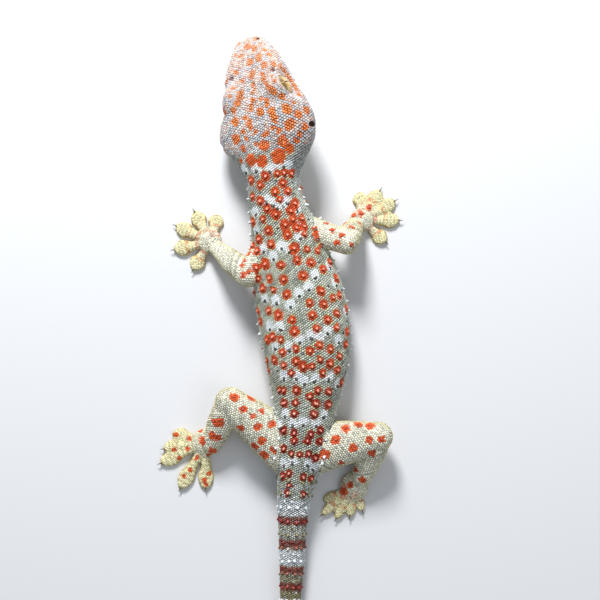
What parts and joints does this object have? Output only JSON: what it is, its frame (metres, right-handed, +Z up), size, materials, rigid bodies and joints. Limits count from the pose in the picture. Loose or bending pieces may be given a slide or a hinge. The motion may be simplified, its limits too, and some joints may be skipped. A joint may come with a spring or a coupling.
{
  "type": "tokay gecko",
  "caption": "Large spotted gecko lying flat with bent body, splayed legs, broad toe pads and a curved tail, at life size.",
  "frame": {"origin": "centre of the bounding box, on the floor", "axes": "+Z up, snout towards -Y, tail towards +Y, the animal's left towards +X"},
  "size_m": [0.095, 0.3059, 0.0256],
  "materials": {
    "head": "satin, finely beaded",
    "back": "satin, granular with tubercles",
    "limb": "satin, granular",
    "toe": "satin",
    "eye": "wet gloss"
  },
  "bodies": {
    "root": {"head": "head", "lower_jaw": "head", "eye_left": "eye", "eye_right": "eye", "neck": "back", "torso": "back", "tail_base": "back", "tail_middle": "back", "tail_tip": "back", "upper_arm_left": "limb", "forearm_left": "limb", "hand_left": "toe", "upper_arm_right": "limb", "forearm_right": "limb", "hand_right": "toe", "thigh_left": "limb", "shank_left": "limb", "foot_left": "toe", "thigh_right": "limb", "shank_right": "limb", "foot_right": "toe"}
  },
  "joints": []
}
